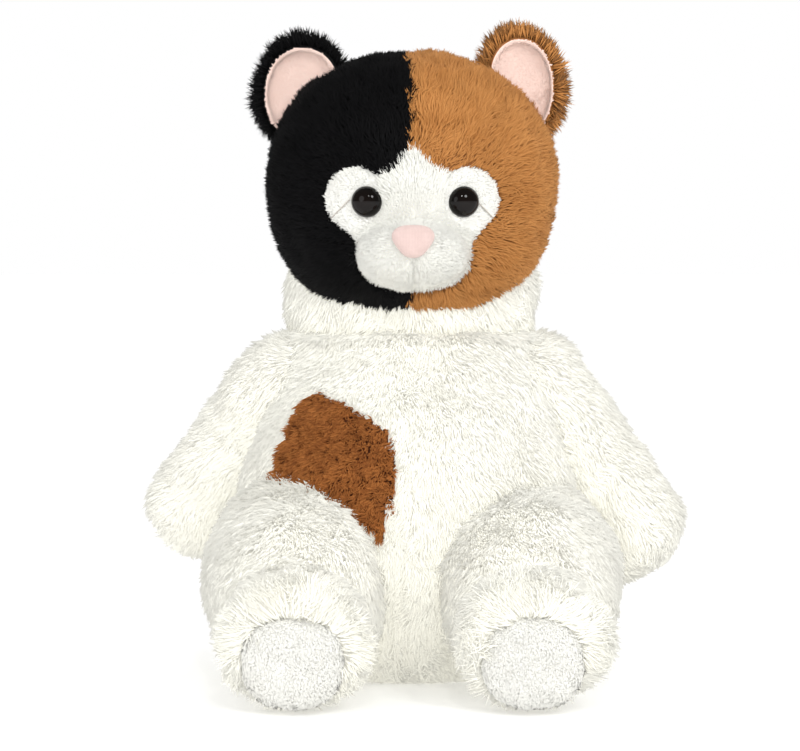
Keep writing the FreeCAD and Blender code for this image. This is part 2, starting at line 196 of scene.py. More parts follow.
# ring k is centre + direction * along[k] + bend, with two half widths across
def limbRings(start, direction, along, wide, cols, across=(1.0, 1.0), bend=None, upHint=(0, 0, 1)):
    direction = unit(np.array(direction, float))
    side = unit(np.cross(direction, np.array(upHint, float)))
    over = np.cross(side, direction)
    turn = np.linspace(0, 2 * math.pi, cols, endpoint=False)
    centre = start + along[:, None] * direction
    if bend is not None:
        centre = centre + bend(along)
    acrossSide, acrossOver = across
    ring = (np.cos(turn)[None, :, None] * side * np.atleast_1d(acrossSide)[:, None, None]
            + np.sin(turn)[None, :, None] * over * np.atleast_1d(acrossOver)[:, None, None])
    return centre[:, None, :] + wide[:, None, None] * ring


# a shader node: settings are its properties, and an input takes a value or another's output
def addNode(tree, kind, inputs, **settings):
    made = tree.nodes.new("ShaderNode" + kind)
    for name, value in settings.items():
        setattr(made, name, value)
    return setInputs(tree, made, inputs)


def setInputs(tree, made, inputs):
    for name, value in inputs.items():
        if isinstance(value, bpy.types.NodeSocket):
            tree.links.new(value, made.inputs[name])
        else:
            made.inputs[name].default_value = value
    return made


def mixColours(tree, factor, one, other):
    inputs = {"Factor": factor, "A": one, "B": other}
    return addNode(tree, "Mix", inputs, data_type="RGBA").outputs["Result"]


def opaque(colour):
    return (*colour, 1)


def newMaterial(name):
    material = bpy.data.materials.new(name)
    material.use_nodes = True
    return material, material.node_tree, material.node_tree.nodes["Principled BSDF"]


def objectPlace(tree):
    return addNode(tree, "TexCoord", {}).outputs["Object"]


# one pile colour: mix(shade, mix(root, tip, along^0.6), row + streak * noise); the root colour,
# darker than the tip, is painted shade deep in the coat
def makePileGroup():
    group = bpy.data.node_groups.new("pileColour", "ShaderNodeTree")
    kinds = dict(Root="Color", Tip="Color", Shade="Color",
                 Along="Float", Row="Float", Streak="Float")
    for name, kind in kinds.items():
        group.interface.new_socket(name, in_out="INPUT", socket_type="NodeSocket" + kind)
    for name, kind in dict(Colour="Color", Rough="Float").items():
        group.interface.new_socket(name, in_out="OUTPUT", socket_type="NodeSocket" + kind)
    given = group.nodes.new("NodeGroupInput").outputs
    out = group.nodes.new("NodeGroupOutput")
    rise = addNode(group, "Math", {0: given["Along"], 1: 0.6}, operation="POWER")
    length = mixColours(group, rise.outputs[0], given["Root"], given["Tip"])
    spot = addNode(group, "CombineXYZ", {0: given["Along"], 1: given["Row"]})
    streak = addNode(group, "TexNoise", {"Scale": 60, "Vector": spot.outputs[0]}).outputs["Fac"]
    spread = addNode(group, "Math", {0: streak, 1: given["Streak"]}, operation="MULTIPLY")
    amount = addNode(group, "Math", {0: given["Row"], 1: spread.outputs[0]},
                     operation="ADD", use_clamp=True)
    shade = mixColours(group, amount.outputs[0], given["Shade"], length)
    rough = addNode(group, "MapRange", {"Value": streak, "To Min": 0.62, "To Max": 0.9})
    setInputs(group, out, {"Colour": shade, "Rough": rough.outputs["Result"]})
    return group


pileGroup = makePileGroup()


# pile of one colour, read from each tuft's own map, with a painted glow standing in for light
# scattered in the coat
def pileMaterial(name, look):
    material, tree, shader = newMaterial(name)
    place = addNode(tree, "UVMap", {}, uv_map="OFBake")
    parts = addNode(tree, "SeparateXYZ", {0: place.outputs["UV"]})
    pile = addNode(tree, "Group", {}, node_tree=pileGroup)
    setInputs(tree, pile, {
        "Root": opaque(look["root"]), "Tip": opaque(look["tip"]), "Shade": opaque(look["shade"]),
        "Streak": look["streak"], "Along": parts.outputs["X"], "Row": parts.outputs["Y"]})
    setInputs(tree, shader, {
        "Base Color": pile.outputs["Colour"], "Roughness": pile.outputs["Rough"],
        "Specular IOR Level": look["gloss"], "Sheen Weight": look["sheen"],
        "Sheen Roughness": 0.45, "Emission Color": pile.outputs["Colour"],
        "Emission Strength": look["glow"]})
    return material


# the knitted cloth that the pile stands in: small loops and soft mottling, with an optional painted
# glow that lifts the shade seen between the tufts
def backingMaterial(name, colour, dark, loopDepth=0.4, glow=0.0):
    material, tree, shader = newMaterial(name)
    place = objectPlace(tree)
    loops = addNode(tree, "TexVoronoi", {"Scale": 900, "Vector": place})
    mottle = addNode(tree, "TexNoise", {"Scale": 60, "Vector": place})
    cloth = mixColours(tree, mottle.outputs["Fac"], opaque(dark), opaque(colour))
    bump = addNode(tree, "Bump", {
        "Strength": loopDepth, "Distance": 0.0004, "Height": loops.outputs["Distance"]})
    setInputs(tree, shader, {
        "Base Color": cloth, "Normal": bump.outputs["Normal"], "Roughness": 0.9,
        "Sheen Weight": 0.03, "Emission Color": cloth, "Emission Strength": glow})
    return material


# fine knit: two crossed waves multiplied, with fuzz = 0.6 * knit + noise choosing the shade
def knitMaterial(name, colour, dark, scale):
    material, tree, shader = newMaterial(name)
    place = objectPlace(tree)
    wales = addNode(tree, "TexWave", {
        "Scale": scale, "Distortion": 1.2, "Detail": 1.0, "Vector": place})
    courses = addNode(tree, "TexWave", {
        "Scale": scale * 1.15, "Distortion": 1.2, "Vector": place}, bands_direction="Z")
    knit = addNode(tree, "Math", {0: wales.outputs["Fac"], 1: courses.outputs["Fac"]},
                   operation="MULTIPLY").outputs[0]
    fuzz = addNode(tree, "TexNoise", {"Scale": 260, "Vector": place})
    level = addNode(tree, "Math", {0: knit, 1: 0.6, 2: fuzz.outputs["Fac"]},
                    operation="MULTIPLY_ADD")
    cloth = mixColours(tree, level.outputs[0], opaque(dark), opaque(colour))
    bump = addNode(tree, "Bump", {"Strength": 0.55, "Distance": 0.0005, "Height": knit})
    setInputs(tree, shader, {
        "Base Color": cloth, "Normal": bump.outputs["Normal"],
        "Roughness": 0.75, "Sheen Weight": 0.35})
    return material


# each look's glow is painted light: an emission of the pile's own colour that stands in for light
# scattered through the coat and lifts the shade between tufts; each root, darker than its tip, is
# painted shade
whiteFur = dict(root=(0.89, 0.875, 0.79), tip=(0.90, 0.89, 0.815), shade=(0.89, 0.87, 0.78),
                streak=0.5, gloss=0.06, sheen=0.08, glow=0.26)
whiteFaceFur = dict(root=(0.80, 0.79, 0.735), tip=(0.83, 0.828, 0.775), shade=(0.81, 0.805, 0.75),
                    streak=0.5, gloss=0.08, sheen=0.06, glow=0.12)
blackFur = dict(root=(0.0015, 0.0015, 0.0018), tip=(0.0055, 0.0052, 0.0058),
                shade=(0.0025, 0.0025, 0.003), streak=0.4, gloss=0.12, sheen=0.012, glow=0.0)
tanFur = dict(root=(0.30, 0.105, 0.024), tip=(0.62, 0.285, 0.09), shade=(0.42, 0.17, 0.045),
              streak=0.5, gloss=0.08, sheen=0.03, glow=0.07)
rustFur = dict(root=(0.11, 0.033, 0.009), tip=(0.57, 0.21, 0.055), shade=(0.21, 0.064, 0.017),
               streak=0.3, gloss=0.1, sheen=0.04, glow=0.05)
pinkPile = dict(root=(0.88, 0.65, 0.57), tip=(0.92, 0.72, 0.64), shade=(0.89, 0.68, 0.60),
                streak=0.5, gloss=0.08, sheen=0.1, glow=0.16)
shortWhitePile = dict(root=(0.84, 0.83, 0.775), tip=(0.86, 0.855, 0.81), shade=(0.84, 0.83, 0.775),
                      streak=0.5, gloss=0.08, sheen=0.08, glow=0.05)

whitePile = pileMaterial("whiteLongPile", whiteFur)
whiteFacePile = pileMaterial("whiteFacePile", whiteFaceFur)
blackPile = pileMaterial("blackPile", blackFur)
tanPile = pileMaterial("tanPile", tanFur)
rustPile = pileMaterial("rustShortPile", rustFur)
pinkShortPile = pileMaterial("pinkShortPile", pinkPile)
whiteShortPile = pileMaterial("whiteShortPile", shortWhitePile)
# the white and pink backings get a painted glow, light standing in for the shaded gaps between
# tufts
whiteBacking = backingMaterial("whiteBacking", (0.93, 0.92, 0.86), (0.90, 0.885, 0.81), 0.15, 0.25)
blackBacking = backingMaterial("blackBacking", (0.008, 0.008, 0.008), (0.003, 0.003, 0.003))
tanBacking = backingMaterial("tanBacking", (0.40, 0.17, 0.05), (0.32, 0.12, 0.035))
rustBacking = backingMaterial("rustBacking", (0.16, 0.05, 0.014), (0.1, 0.03, 0.009))
pinkBacking = backingMaterial("pinkBacking", (0.90, 0.69, 0.61), (0.86, 0.64, 0.56), 0.08, 0.2)


# A tuft is a thin leaf of four faces: root, two side points partway, tip. With n out of the
# cloth and f along the comb, middle = root + 0.45 size (n cos a + f sin a) and
# tip = middle + 0.55 size (n cos b + f sin b), where b lies flatter than a.
def growPile(name, skin, look, seed, keep=None, comb=None, trim=None):
    random = np.random.default_rng(seed)
    points, normals, tris = meshPoints(skin.data), meshNormals(skin.data), triangles(skin.data)
    a, b, c = (points[tris[:, k]] for k in range(3))
    area = np.linalg.norm(np.cross(b - a, c - a), axis=1) / 2
    if keep is not None:
        area = area * keep((a + b + c) / 3)
    count = int(area.sum() / (mm * mm) * look["density"])
    chosen = np.searchsorted(np.cumsum(area) / area.sum(), random.random(count))
    chosen = np.minimum(chosen, len(tris) - 1)
    u, v = random.random((2, count, 1))
    u, v = np.where(u + v > 1, 1 - u, u), np.where(u + v > 1, 1 - v, v)
    corners = tris[chosen]
    blend = np.concatenate([1 - u - v, u, v], axis=1)
    root = np.einsum("nk,nkd->nd", blend, points[corners])
    normal = unit(np.einsum("nk,nkd->nd", blend, normals[corners]))
    spare = random.random((count, 6))

    flow = comb(root) if comb is not None else np.tile([0.0, 0.0, -1.0], (count, 1))
    wisp = softVectors(root, look["wispSize"], seed + 11) * look["wisp"]
    wisp = wisp + softVectors(root, look["wispSize"] * 0.38, seed + 17) * look["wisp"] * 0.6
    flow = unit(flow) + wisp + (spare[:, :3] - 0.5) * look["stray"]
    flow = unit(flow - normal * np.sum(flow * normal, axis=1, keepdims=True))
    lift = softNoise(root, look["wispSize"] * 1.7, seed + 29) * 12 + (spare[:, 3] - 0.5) * 24
    rise = np.radians(np.clip(look["rise"] + lift, 3, 80))[:, None]
    over = np.radians(np.clip(look["over"] + lift * 1.2, 8, 100))[:, None]
    size = look["length"] * (1 + (spare[:, 4] - 0.5) * 0.5)
    size = size * (1 + 0.18 * softNoise(root, look["wispSize"] * 1.3, seed + 31))
    if trim is not None:
        size = size * trim(root)
    size = size[:, None]
    middle = root + 0.45 * size * (normal * np.cos(rise) + flow * np.sin(rise))
    tip = middle + 0.55 * size * (normal * np.cos(over) + flow * np.sin(over))
    twist = (spare[:, 5:6] - 0.5) * 1.6
    across = unit(np.cross(normal, flow)) * np.cos(twist) + normal * np.sin(twist) * 0.7
    half = unit(across) * look["width"] / 2 * np.clip(size / look["length"], 0.5, 1.3)
    base = root - normal * 0.0004
    body = np.stack([base, middle - half, middle + half, tip], axis=1)
    floor = 0.0004 + 0.0006 * spare[:, :1]
    body[:, 1:, 2] = np.maximum(body[:, 1:, 2], floor)

    first = np.arange(count)[:, None] * 4
    faces = np.concatenate(
        [first + [0, 1, 2], first + [1, 3, 2], first + [0, 3, 1], first + [0, 2, 3]], axis=1
    ).reshape(-1, 3)
    made = addMesh(name, body.reshape(-1, 3), faces.tolist())
    row = 0.5 + 0.36 * softNoise(root, look["shadeSize"], seed + 41)
    row = np.clip(row + (random.random(count) - 0.5) * 0.5, 0.02, 0.98)
    # u runs root to tip and v is the shade's row, the same for every tuft of that shade
    mapU = np.tile([0.02, 0.45, 0.45, 0.98], (count, 1))
    mapV = row[:, None] + np.array([0, -0.012, 0.012, 0])
    layer = made.data.uv_layers.new(name="OFBake")
    flat = np.stack([mapU.reshape(-1), mapV.reshape(-1)], axis=1)[faces.reshape(-1)]
    layer.data.foreach_set("uv", flat.reshape(-1).astype(np.float32))
    soft = unit(normal[:, None, :] * look["soft"] + unit(tip - root)[:, None, :] * 0.25
                + (random.random((count, 1, 3)) - 0.5) * look["glint"])
    soft = np.repeat(soft, 4, axis=1).reshape(-1, 3)
    made.data.normals_split_custom_set_from_vertices(soft.tolist())
    print("pile", name, count, "tufts")
    return made


def finishPiece(made, material, body=None, blend=None, nodes=()):
    if material is not None:
        made.data.materials.clear()
        made.data.materials.append(material)
    if blend is not None:
        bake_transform(made)
    else:
        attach(made, body)
    if nodes:
        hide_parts(*nodes)
    return made


longPile = dict(density=1.9, length=9 * mm, width=0.7 * mm, rise=40, over=76, wisp=0.6,
                wispSize=9 * mm, stray=0.6, shadeSize=40 * mm, soft=1.0, glint=0.1)


bodyLook = dict(inset=4 * mm, seatRound=0.30, seatPinch=0.60, chestTaper=0.27,
                shoulderLine=0.9, forward=5 * mm, topFlat=0.24, topBack=8 * mm,
                rows=96, cols=120, lumps=(34 * mm, 2.2 * mm), ripples=(12 * mm, 0.9 * mm))
frontLow, frontHigh = box("body_front_panel")
backHigh = box("body_back_panel")[1]
bodyTop = frontHigh[2]
bellyHalf = frontHigh[0]
bellyDeep = (backHigh[1] - frontLow[1]) / 2


# half width at a part t of the height: sqrt(1 - k(1 - t/r)^2) below r, 1 - c s^1.6 above
def bodyWidth(part):
    look = bodyLook
    below = np.clip(1 - part / look["seatRound"], 0, 1)
    above = np.clip((part - look["seatRound"]) / (1 - look["seatRound"]), 0, 1)
    wide = np.sqrt(1 - look["seatPinch"] * below ** 2) * (1 - look["chestTaper"] * above ** 1.6)
    return wide * (1 - 0.06 * smoothStep(look["shoulderLine"], 1.05, part))


# how deep the body is beside its width, and how far its middle lies back, up the chest
def bodyDepth(part):
    top = smoothStep(0.6, 1.05, part)
    middle = bodyLook["topBack"] * top - bodyLook["forward"] * np.sin(math.pi * part)
    return 1 - bodyLook["topFlat"] * top, middle


def bodyRings(look):
    part = np.concatenate([[0.0, 0.0, 0.0], np.linspace(0, 1, look["rows"]) ** 1.15,
                           [1.0, 1.0]])
    shrink = np.concatenate([[0.0, 0.45, 0.82], np.ones(look["rows"]), [0.6, 0.0]])
    drop = np.concatenate([[0, 0, 0], np.zeros(look["rows"]), [0.004, 0.006]])
    turn = np.linspace(0, 2 * math.pi, look["cols"], endpoint=False)
    wide = bodyWidth(part) * shrink
    x = wide[:, None] * (bellyHalf - look["inset"]) * np.cos(turn)
    deep, middle = bodyDepth(part)
    y = (wide * deep)[:, None] * (bellyDeep - look["inset"]) * np.sin(turn) + middle[:, None]
    z = look["inset"] * 0.7 + part * (bodyTop - look["inset"]) + drop
    rings = np.stack([x, y, np.repeat(z[:, None], look["cols"], axis=1)], axis=-1)
    rings = lumpy(rings, look["lumps"], look["ripples"], 5)
    rings[..., 2] = np.maximum(rings[..., 2], look["inset"] * 0.6)
    return rings


headLook = dict(halfWide=71 * mm, halfDeep=57 * mm, halfHigh=64 * mm, cadHigh=63 * mm,
                forward=6 * mm, rows=150, cols=200, square=2.2, jaw=0.35,
                lumps=(26 * mm, 0.9 * mm), ripples=(9 * mm, 0.4 * mm))
muzzleLook = dict(halfWide=30 * mm, halfDeep=24 * mm, halfHigh=20 * mm, drop=36 * mm, out=49 * mm,
                  soften=5 * mm)
faceLook = dict(blazeTip=17 * mm, blazeHalf=16.5 * mm, blazeDrop=1.5 * mm,
                muzzleHalf=30.5 * mm, muzzleX=1 * mm, muzzleHigh=20 * mm,
                patchX=28 * mm, patchDrop=8 * mm, patchRadius=17.2 * mm, join=13 * mm,
                eyeX={right: 22.8 * mm, left: 25.8 * mm}, eyeDrop=9.5 * mm,
                seamDepth=1.6 * mm, backLine=12 * mm)
headTop = box("head_panel_black")[1][2]
headMiddle = np.array([0, -headLook["forward"], headTop - headLook["cadHigh"]])
muzzleMiddle = headMiddle + np.array([0, -muzzleLook["out"], -muzzleLook["drop"]])


neckLook = dict(inset=1.5 * mm, deepInset=7 * mm, fullness=0.65, rows=60, cols=96,
                lumps=(26 * mm, 1.2 * mm), ripples=(10 * mm, 0.5 * mm))
neckPivot, nodPivot = pivot("neck_turn"), pivot("head_nod")
neckLow, neckHigh = box("neck_wrap")
neckHalf = neckHigh[0]
neckRound = (neckHigh[1] - neckLow[1]) / 2

shoulders = {right: pivot("shoulder_swing_right"), left: pivot("shoulder_swing_left")}
hips = {right: pivot("hip_lift_right"), left: pivot("hip_lift_left")}
tailRoot = pivot("tail_swing")


def sideName(side):
    return "right" if side < 0 else "left"


armLook = dict(inset=3.5 * mm, radius=29 * mm, paw=29 * mm, cadPaw=26.5 * mm, cadSkin=3 * mm,
               cadLength=86 * mm, waist=0.99, cols=64,
               lumps=(22 * mm, 1.8 * mm), ripples=(9 * mm, 0.7 * mm))
legLook = dict(inset=4 * mm, thigh=46 * mm, foot=34 * mm, thighWide=1.08, thighHigh=1.2,
               thighLift=8 * mm, footWide=1.06, footHigh=0.92, ankle=0.1, cols=80,
               lumps=(26 * mm, 2.0 * mm), ripples=(10 * mm, 0.8 * mm))
tailLook = dict(inset=3 * mm, root=15 * mm, tip=13 * mm, rise=9 * mm, cols=40,
                lumps=(20 * mm, 1.0 * mm), ripples=(8 * mm, 0.5 * mm))


def pawPlace(side):
    low, high = box("arm_stuffing_" + sideName(side))
    reach = armLook["cadPaw"] - armLook["cadSkin"]
    x = low[0] + reach if side < 0 else high[0] - reach
    z = low[2] + reach
    flat = math.sqrt(max(armLook["cadLength"] ** 2 - (x - shoulders[side][0]) ** 2
                         - (z - shoulders[side][2]) ** 2, 0))
    back = high[1] - reach > shoulders[side][1] + 2 * mm
    y = high[1] - reach if back else shoulders[side][1] - flat
    return np.array([x, y, z])


paws = {side: pawPlace(side) for side in (right, left)}


def footPlace(side):
    low, high = box("sole_pad_" + sideName(side))
    return (low + high) / 2


feet = {side: footPlace(side) for side in (right, left)}


def away(point, radius):
    return lambda p: np.linalg.norm(p - point, axis=-1) > radius


# the rust patch's corners seen from the front, as parts of the body's half width and height
patchCorners = [(-0.525, 0.845), (-0.38, 0.815), (-0.24, 0.775), (-0.115, 0.728), (-0.095, 0.66),
                (-0.102, 0.60), (-0.135, 0.50), (-0.17, 0.435), (-0.30, 0.50), (-0.45, 0.555),
                (-0.60, 0.585), (-0.77, 0.585), (-0.72, 0.66), (-0.66, 0.75), (-0.60, 0.81)]


def inPatch(points):
    x, z = points[:, 0] / bellyHalf, points[:, 2] / bodyTop
    inside = np.zeros(len(points), bool)
    for (ax, az), (bx, bz) in zip(patchCorners, patchCorners[1:] + patchCorners[:1]):
        crosses = (az > z) != (bz > z)
        edge = ax + (z - az) / (bz - az if bz != az else 1e-9) * (bx - ax)
        inside ^= crosses & (x < edge)
    return inside & (points[:, 1] < 0)


# distance from each point to the nearest side of the patch, seen from the front
def patchEdge(points):
    flat = points[:, [0, 2]]
    corners = np.array(patchCorners) * [bellyHalf, bodyTop]
    nearest = np.full(len(points), 1.0)
    for a, b in zip(corners, np.roll(corners, -1, axis=0)):
        along = np.clip((flat - a) @ (b - a) / np.sum((b - a) ** 2), 0, 1)
        nearest = np.minimum(nearest, np.linalg.norm(flat - a - along[:, None] * (b - a), axis=1))
    return np.where(points[:, 1] < 0, nearest, 1.0)


def besidePatch(points):
    return 0.35 + 0.65 * smoothStep(0, 7 * mm, patchEdge(points))


# the coat falls outward from the middle and down
def bodyComb(points):
    out = points * [1, 1, 0]
    return unit(out) * 0.7 + np.array([0, 0, -1.0])


# true where a point is sunk in the body by more than the given depth
def sunkInBody(points, depth):
    part = np.clip(points[:, 2] / bodyTop, 0, 1)
    wide = bodyWidth(part)
    deep, middle = bodyDepth(part)
    acrossHalf = wide * (bellyHalf - bodyLook["inset"]) - depth
    alongHalf = wide * deep * (bellyDeep - bodyLook["inset"]) - depth
    reach = np.hypot(points[:, 0] / acrossHalf, (points[:, 1] - middle) / alongHalf)
    return (reach < 1) & (points[:, 2] < bodyTop - depth)


limbMargin = 12 * mm  # pile reaches this far under a limb's edge
sunkDepth = 9 * mm  # limb pile deeper in the body than this is left out
floorGap = 4.2 * mm  # no pile below this height
seamY = 8 * mm  # the front and back coats part here


# false where the pile would stand under a limb, under the neck or on the floor
def bareOnBody(points):
    show = np.ones(len(points), bool)
    for side in (right, left):
        show &= away(shoulders[side], armLook["radius"] - limbMargin)(points)
        show &= away(hips[side], legLook["thigh"] - limbMargin)(points)
    show &= away(tailRoot, tailLook["root"] - 4 * mm)(points)
    neckFoot = (points[:, 0] / neckHalf) ** 2 + ((points[:, 1] - nodPivot[1]) / neckRound) ** 2
    show &= ~((points[:, 2] > bodyTop - 4 * mm) & (neckFoot < 0.6))
    return show & ~(points[:, 2] < floorGap)


bodySkin = addRings("bodySkin", bodyRings(bodyLook))
paintFaces(bodySkin, (whiteBacking, rustBacking), inPatch)
finishPiece(bodySkin, None, body="torso", nodes=["body_stuffing"])

backPileLook = dict(longPile, density=1.2, width=0.88 * mm)
quarters = [
    ("bodyPileFrontRight", lambda p: (p[:, 1] < seamY) & (p[:, 0] < 0), ["body_front_panel"]),
    ("bodyPileFrontLeft", lambda p: (p[:, 1] < seamY) & (p[:, 0] >= 0), []),
    ("bodyPileBackRight", lambda p: (p[:, 1] >= seamY) & (p[:, 0] < 0), ["body_back_panel"]),
    ("bodyPileBackLeft", lambda p: (p[:, 1] >= seamY) & (p[:, 0] >= 0), []),
]
for index, (name, quarter, nodes) in enumerate(quarters):
    pile = growPile(
        name, bodySkin, longPile if index < 2 else backPileLook, 100 + index,
        keep=lambda p, quarter=quarter: quarter(p) & bareOnBody(p) & ~inPatch(p),
        comb=bodyComb, trim=besidePatch,
    )
    finishPiece(pile, whitePile, body="torso", nodes=nodes)

rustLook = dict(longPile, density=3.4, length=5 * mm, width=0.55 * mm, rise=20, over=50,
                wisp=1.2, wispSize=3.2 * mm, shadeSize=2.6 * mm, glint=0.45)
rust = growPile("bellyPatchPile", bodySkin, rustLook, 120,
                keep=lambda p: inPatch(p) & bareOnBody(p), comb=bodyComb)
finishPiece(rust, rustPile, body="torso", nodes=["belly_patch"])
print("body made")


def neckRings(look):
    turn = np.linspace(0, math.pi, look["rows"])
    around = np.linspace(0, 2 * math.pi, look["cols"], endpoint=False)
    high, deep = neckRound - look["inset"], neckRound - look["deepInset"]
    full = np.sin(turn) ** np.where(turn < math.pi / 2, look["fullness"], 1.0)
    x = (neckHalf - look["inset"]) * full[:, None] * np.cos(around)
    y = deep * full[:, None] * np.sin(around) + nodPivot[1]
    z = nodPivot[2] - high * np.cos(turn)[:, None] + 0 * around
    return lumpy(np.stack([x, y, z], axis=-1), look["lumps"], look["ripples"], 61)


neckSkin = addRings("neckSkin", neckRings(neckLook))


# true where a point is sunk in the head by more than the given depth
def sunkInHead(points, depth):
    half = np.array([headLook["halfWide"], headLook["halfDeep"], headLook["halfHigh"]]) - depth
    return np.sum(((points - headMiddle) / half) ** 2, axis=1) < 1


neckBlend = ("torso", "neck", neckPivot + [0, 0, -4 * mm], neckPivot + [0, 0, 18 * mm])
neckPile = growPile(
    "neckPile", neckSkin, dict(longPile, density=1.55, width=0.74 * mm), 130,
    keep=lambda p: (p[:, 2] > neckPivot[2] - 14 * mm) & ~sunkInHead(p, 12 * mm)
    & ~sunkInBody(p, sunkDepth)
    & (p[:, 2] < neckPivot[2] + np.where(
        (np.abs(p[:, 0]) < 36 * mm) & (p[:, 1] < 0), 20 * mm, 60 * mm)),
    comb=bodyComb,
    trim=lambda p: 1.1 - 0.1 * smoothStep(-10 * mm, 12 * mm, p[:, 2] - neckPivot[2]),
)
finishPiece(neckSkin, whiteBacking, blend=neckBlend,
            nodes=["neck_stuffing"])
finishPiece(neckPile, whitePile, blend=neckBlend, nodes=["neck_wrap"])
print("neck made")


limbPile = dict(longPile, density=1.62, width=0.7 * mm)


def armRings(side, look):
    start, end = shoulders[side], paws[side]
    length = float(np.linalg.norm(end - start))
    along, wide = limbProfile(length, look["radius"] - look["inset"],
                              look["paw"] - look["inset"], 14, 34)
    part = np.clip(along / length, 0, 1)
    wide = wide * (1 - (1 - look["waist"]) * np.sin(math.pi * part))
    rings = limbRings(start, end - start, along, wide, look["cols"], upHint=(0, 1, 0))
    return lumpy(rings, look["lumps"], look["ripples"], 71 if side < 0 else 76)


for side in (right, left):
    name = sideName(side)
    direction = unit(paws[side] - shoulders[side])
    skin = addRings("armSkin" + name.title(), armRings(side, armLook))
    lean = ("torso", "arm_" + name, shoulders[side] - direction * 12 * mm,
            shoulders[side] + direction * 30 * mm)
    pile = growPile(
        "armPile" + name.title(), skin, limbPile, 140 if side < 0 else 150,
        keep=lambda p: ~sunkInBody(p, sunkDepth),
        comb=lambda p, d=direction: np.tile(d, (len(p), 1)),
    )
    finishPiece(skin, whiteBacking, blend=lean,
                nodes=["arm_stuffing_" + name])
    finishPiece(pile, whitePile, blend=lean, nodes=["arm_skin_" + name])
print("arms made")


underTop = 34 * mm  # the leg's coat is thinner below this height


def legRings(side, look):
    start, end = hips[side], feet[side].copy()
    end[1] += 14 * mm
    length = float(np.linalg.norm(end - start))
    along, wide = limbProfile(length, look["thigh"] - look["inset"],
                              look["foot"] - look["inset"], 16, 40)
    # the foot end is blunt, so its cap is squashed along the limb
    past = along > length
    along = np.where(past, length + (along - length) * 0.42, along)
    wide = wide * (1 - look["ankle"] * np.exp(-((along - length + 22 * mm) / (9 * mm)) ** 2))
    part = smoothStep(0.35 * length, length, along)
    wideSide = look["thighWide"] + (look["footWide"] - look["thighWide"]) * part
    wideOver = look["thighHigh"] + (look["footHigh"] - look["thighHigh"]) * part
    lift = np.stack([0 * part, 0 * part, look["thighLift"] * (1 - part)], axis=1)
    rings = limbRings(start, end - start, along, wide, look["cols"],
                      across=(wideSide, wideOver), bend=lambda along: lift)
    rings = lumpy(rings, look["lumps"], look["ripples"], 81 if side < 0 else 86)
    rings[..., 2] = np.maximum(rings[..., 2], look["inset"] * 0.7)
    return rings


soleLook = dict(wide=24 * mm, high=22 * mm, thick=7 * mm, drop=8.5 * mm, rows=22, cols=72)


# outline x = a cos^e, z = b sin^e with e < 1, puffed by (1 - r^4)^0.5
def soleRings(side, look):
    centre = feet[side] - np.array([0, 0, look["drop"]])
    turn = np.linspace(0, 2 * math.pi, look["cols"], endpoint=False)
    x = look["wide"] * np.sign(np.cos(turn)) * np.abs(np.cos(turn)) ** 0.85
    z = look["high"] * np.sign(np.sin(turn)) * np.abs(np.sin(turn)) ** 0.85
    reach = np.sin(np.linspace(0, math.pi / 2, look["rows"]))
    front = -np.sqrt(1 - reach ** 4) * look["thick"]
    spans = np.concatenate([reach, reach[::-1][1:]])
    depth = np.concatenate([front, np.zeros(look["rows"] - 1)])
    rings = np.stack([spans[:, None] * x, np.repeat(depth[:, None], look["cols"], axis=1),
                      spans[:, None] * z], axis=-1)
    rings = rings + centre + np.array([0, 4.5 * mm, 0])
    push = 0.5 * mm * softNoise(rings, 9 * mm, 91) + 0.25 * mm * softNoise(rings, 4 * mm, 92)
    rings[..., 1] += push * (spans[:, None] < 0.98)
    rings[..., 2] = np.maximum(rings[..., 2], 1.0 * mm)
    return rings


shortPile = dict(longPile, density=3.4, length=2.4 * mm, width=0.88 * mm, rise=45, over=80,
                 wisp=0.9, wispSize=4 * mm, stray=0.9, shadeSize=9 * mm, glint=0.1)
ringLook = dict(longPile, density=2.6, length=11 * mm, width=0.62 * mm, rise=30, over=66, wisp=0.6)

